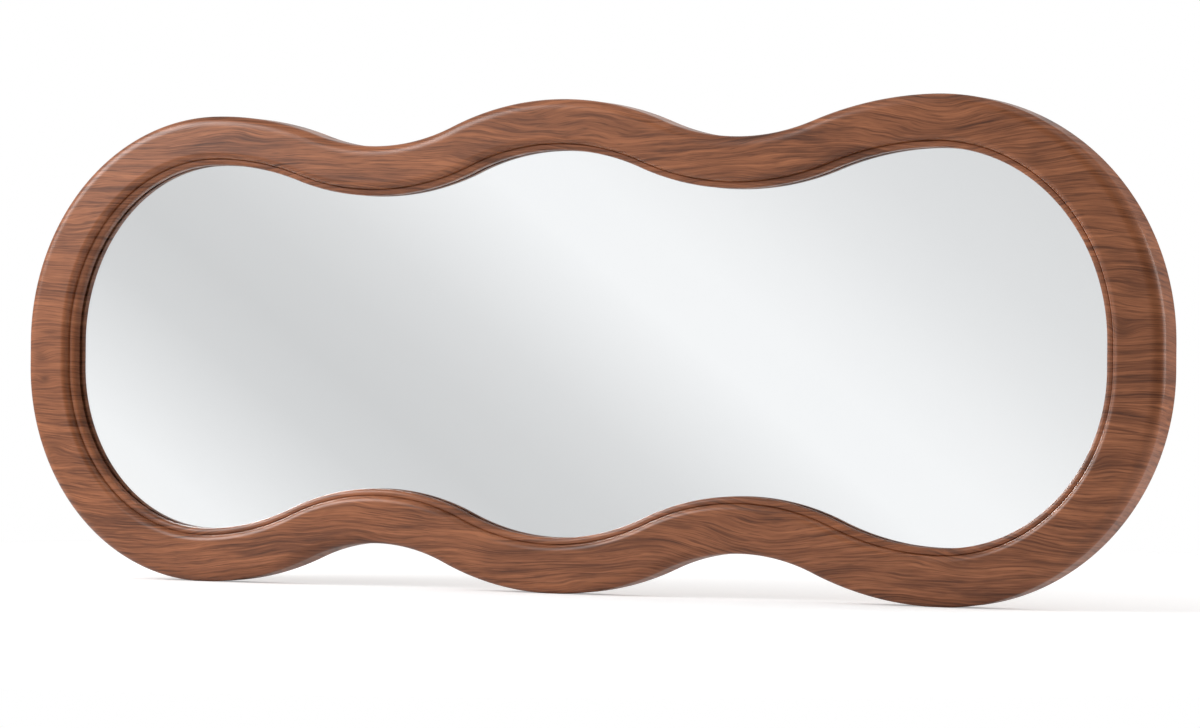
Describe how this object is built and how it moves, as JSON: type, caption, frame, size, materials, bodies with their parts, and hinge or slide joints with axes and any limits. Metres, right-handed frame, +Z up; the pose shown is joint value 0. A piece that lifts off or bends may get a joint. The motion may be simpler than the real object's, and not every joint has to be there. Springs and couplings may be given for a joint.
{
  "type": "wall mirror",
  "caption": "Wide wall mirror in a wavy wooden frame with rounded edges, recessed silvered glass, a screwed back board and swinging ring hangers for hanging it level or upright.",
  "frame": {"origin": "on the floor, under the centre of the overall box, with the mirror standing on its three bottom lobes", "axes": "+X along the length, to the right as seen from the front; +Y from the front towards the wall; +Z up"},
  "size_m": [1.6, 0.0518, 0.61],
  "materials": {
    "walnut": "satin oiled walnut, grain level",
    "tenon_wood": "bare beech",
    "mirror": "polished silvered glass",
    "fibreboard": "smooth brown fibreboard",
    "foam": "white foam tape",
    "zinc_steel": "zinc plated steel",
    "rubber": "matte black rubber"
  },
  "bodies": {
    "frame": {"frame_top_rail": "walnut", "frame_bottom_rail": "walnut", "frame_left_stile": "walnut", "frame_right_stile": "walnut", "tenon_left_upper": "tenon_wood", "tenon_left_lower": "tenon_wood", "tenon_right_upper": "tenon_wood", "tenon_right_lower": "tenon_wood", "mirror_glass": "mirror", "tape_left": "foam", "tape_middle": "foam", "tape_right": "foam", "back_board": "fibreboard", "board_screw_01": "zinc_steel", "board_screw_02": "zinc_steel", "board_screw_03": "zinc_steel", "board_screw_04": "zinc_steel", "board_screw_05": "zinc_steel", "board_screw_06": "zinc_steel", "board_screw_07": "zinc_steel", "board_screw_08": "zinc_steel", "board_screw_09": "zinc_steel", "board_screw_10": "zinc_steel", "board_screw_11": "zinc_steel", "board_screw_12": "zinc_steel", "board_screw_13": "zinc_steel", "board_screw_14": "zinc_steel", "hanger_strap_level_left": "zinc_steel", "hanger_screw_level_left_1": "zinc_steel", "hanger_screw_level_left_2": "zinc_steel", "hanger_strap_level_right": "zinc_steel", "hanger_screw_level_right_1": "zinc_steel", "hanger_screw_level_right_2": "zinc_steel", "hanger_strap_upright_top": "zinc_steel", "hanger_screw_upright_top_1": "zinc_steel", "hanger_screw_upright_top_2": "zinc_steel", "hanger_strap_upright_bottom": "zinc_steel", "hanger_screw_upright_bottom_1": "zinc_steel", "hanger_screw_upright_bottom_2": "zinc_steel", "bumper_top_right": "rubber", "bumper_top_left": "rubber", "bumper_bottom_right": "rubber", "bumper_bottom_left": "rubber"},
    "ring_level_left": {"hanger_ring_level_left": "zinc_steel"},
    "ring_level_right": {"hanger_ring_level_right": "zinc_steel"},
    "ring_upright_top": {"hanger_ring_upright_top": "zinc_steel"},
    "ring_upright_bottom": {"hanger_ring_upright_bottom": "zinc_steel"}
  },
  "joints": [
    {"name": "ring_level_left_swing", "type": "hinge", "parent": "frame", "child": "ring_level_left", "pos_m": [-0.75954, 0.0228, 0.43], "axis": [1, 0, 0], "range_deg": [0, 180]},
    {"name": "ring_level_right_swing", "type": "hinge", "parent": "frame", "child": "ring_level_right", "pos_m": [0.75954, 0.0228, 0.43], "axis": [1, 0, 0], "range_deg": [0, 180]},
    {"name": "ring_upright_top_swing", "type": "hinge", "parent": "frame", "child": "ring_upright_top", "pos_m": [-0.5401, 0.0228, 0.58291], "axis": [0, 0, 1], "range_deg": [0, 180]},
    {"name": "ring_upright_bottom_swing", "type": "hinge", "parent": "frame", "child": "ring_upright_bottom", "pos_m": [-0.5401, 0.0228, 0.02061], "axis": [0, 0, 1], "range_deg": [0, 180]}
  ]
}
